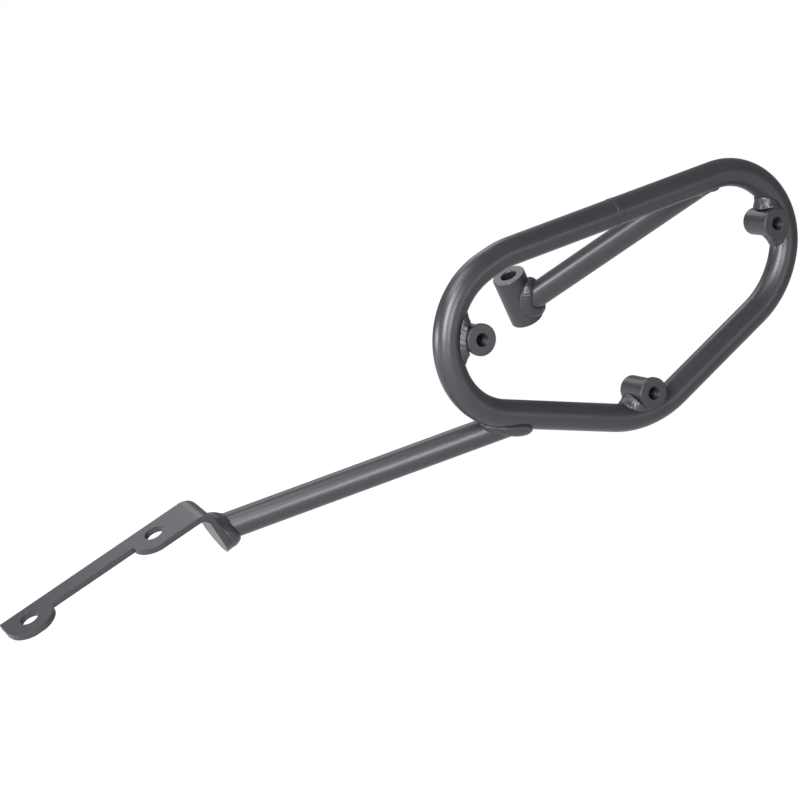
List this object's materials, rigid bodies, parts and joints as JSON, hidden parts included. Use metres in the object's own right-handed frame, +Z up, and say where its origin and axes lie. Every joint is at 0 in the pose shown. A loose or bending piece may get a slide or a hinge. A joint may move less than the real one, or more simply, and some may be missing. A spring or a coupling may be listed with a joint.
{
  "type": "pannier frame",
  "caption": "Side carrier for a motorbike pannier: bent tube loop with threaded bosses, an arm with a drilled bracket and a strut with a bolt sleeve.",
  "frame": {"origin": "middle of the front boss's threaded hole, half a boss length inboard of the pannier's fixing plane", "axes": "+X rearward along the motorbike, +Y inboard towards the motorbike, +Z up"},
  "size_m": [0.5168, 0.1696, 0.2777],
  "materials": {
    "powder_coat": "satin dark grey powder coat with a fine texture",
    "weld_coat": "satin dark grey powder coat over weld beads"
  },
  "bodies": {
    "root": {"loop_tube": "powder_coat", "loop_seam_weld": "weld_coat", "front_boss": "powder_coat", "rear_boss": "powder_coat", "lower_boss": "powder_coat", "front_boss_weld": "weld_coat", "rear_boss_weld": "weld_coat", "lower_boss_weld": "weld_coat", "strut_tube": "powder_coat", "strut_loop_weld": "weld_coat", "strut_sleeve_weld": "weld_coat", "mounting_sleeve": "powder_coat", "arm_tube": "powder_coat", "arm_loop_weld": "weld_coat", "arm_bracket_weld": "weld_coat", "bracket_plate": "powder_coat"}
  },
  "joints": []
}
